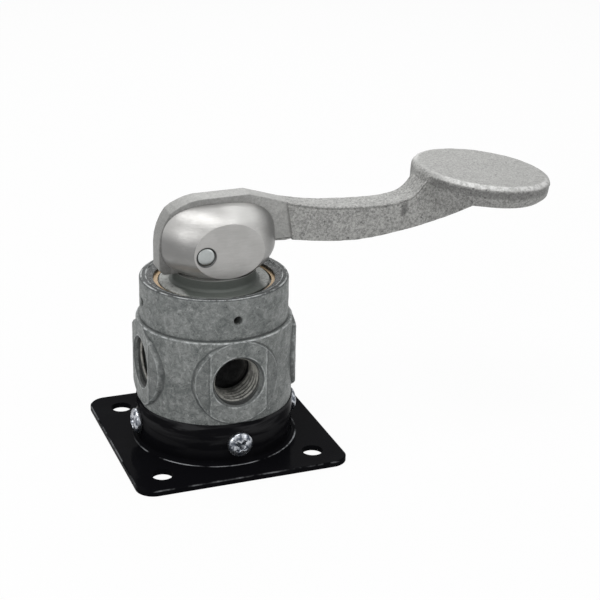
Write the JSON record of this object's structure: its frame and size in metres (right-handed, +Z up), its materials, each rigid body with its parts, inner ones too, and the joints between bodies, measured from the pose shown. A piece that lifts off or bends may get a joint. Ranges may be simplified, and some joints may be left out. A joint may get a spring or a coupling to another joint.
{
  "type": "manual air control valve",
  "caption": "Hand air valve: round ported casting in a square mounting plate, with a turning fork head and a cast palm lever.",
  "frame": {"origin": "centre of the four plate holes, on the underside of the mounting plate, where the valve axis crosses it", "axes": "+Z up along the valve axis, +X towards the palm pad at rest, +Y to the left of the lever seen from above with the pad ahead"},
  "size_m": [0.1238, 0.0572, 0.0705],
  "materials": {
    "plate_black": "gloss black enamel on stamped steel",
    "screw_zinc": "bright zinc plate",
    "body_casting": "rough die casting, mottled dark grey",
    "plug_brass": "turned",
    "seal_rubber": "moulded",
    "ground_steel": "ground",
    "ring_tan": "yellow passivated spring steel",
    "spring_steel": "drawn wire",
    "disc_plastic": "lapped",
    "fork_satin": "smooth satin",
    "pin_zinc": "plated, slightly domed ends",
    "lever_casting": "coarse as cast, machined tongue"
  },
  "bodies": {
    "body": {"base_plate": "plate_black", "collar_screws": "screw_zinc", "valve_body": "body_casting", "bottom_plug": "plug_brass", "plug_o_ring": "seal_rubber", "seat_gasket": "seal_rubber", "seat_plate": "ground_steel", "stop_pin": "ground_steel", "retaining_ring": "ring_tan", "poppet_spring": "spring_steel"},
    "head": {"fork_head": "fork_satin", "head_o_ring": "seal_rubber", "detent_ball": "ground_steel", "detent_spring": "spring_steel", "lever_pin": "pin_zinc", "rotor_disc": "disc_plastic", "drive_pins": "ground_steel", "disc_spring": "spring_steel"},
    "lever": {"lever": "lever_casting"},
    "rod": {"push_rod": "ground_steel", "rod_o_ring": "seal_rubber"},
    "poppet": {"feed_poppet": "plug_brass", "poppet_seal": "seal_rubber"}
  },
  "joints": [
    {"name": "head_turn", "type": "hinge", "parent": "body", "child": "head", "pos_m": [0, 0, 0.0441], "axis": [0, 0, 1], "range_deg": [-90, 90]},
    {"name": "lever_tilt", "type": "hinge", "parent": "head", "child": "lever", "pos_m": [-0.0053, 0, 0.0553], "axis": [0, 1, 0], "range_deg": [0, 8], "stiffness_Nm_per_rad": 0.06, "springref_deg": -51.57},
    {"name": "rod_slide", "type": "slide", "parent": "head", "child": "rod", "axis": [0, 0, -1], "range_m": [0, 0.00084]},
    {"name": "poppet_slide", "type": "slide", "parent": "body", "child": "poppet", "axis": [0, 0, -1], "range_m": [0, 0.00084], "deforming": ["poppet_spring"]}
  ],
  "couplings": [
    {"joint": "rod_slide", "follows": "lever_tilt", "m_per_rad": 0.006},
    {"joint": "poppet_slide", "follows": "lever_tilt", "m_per_rad": 0.006}
  ]
}
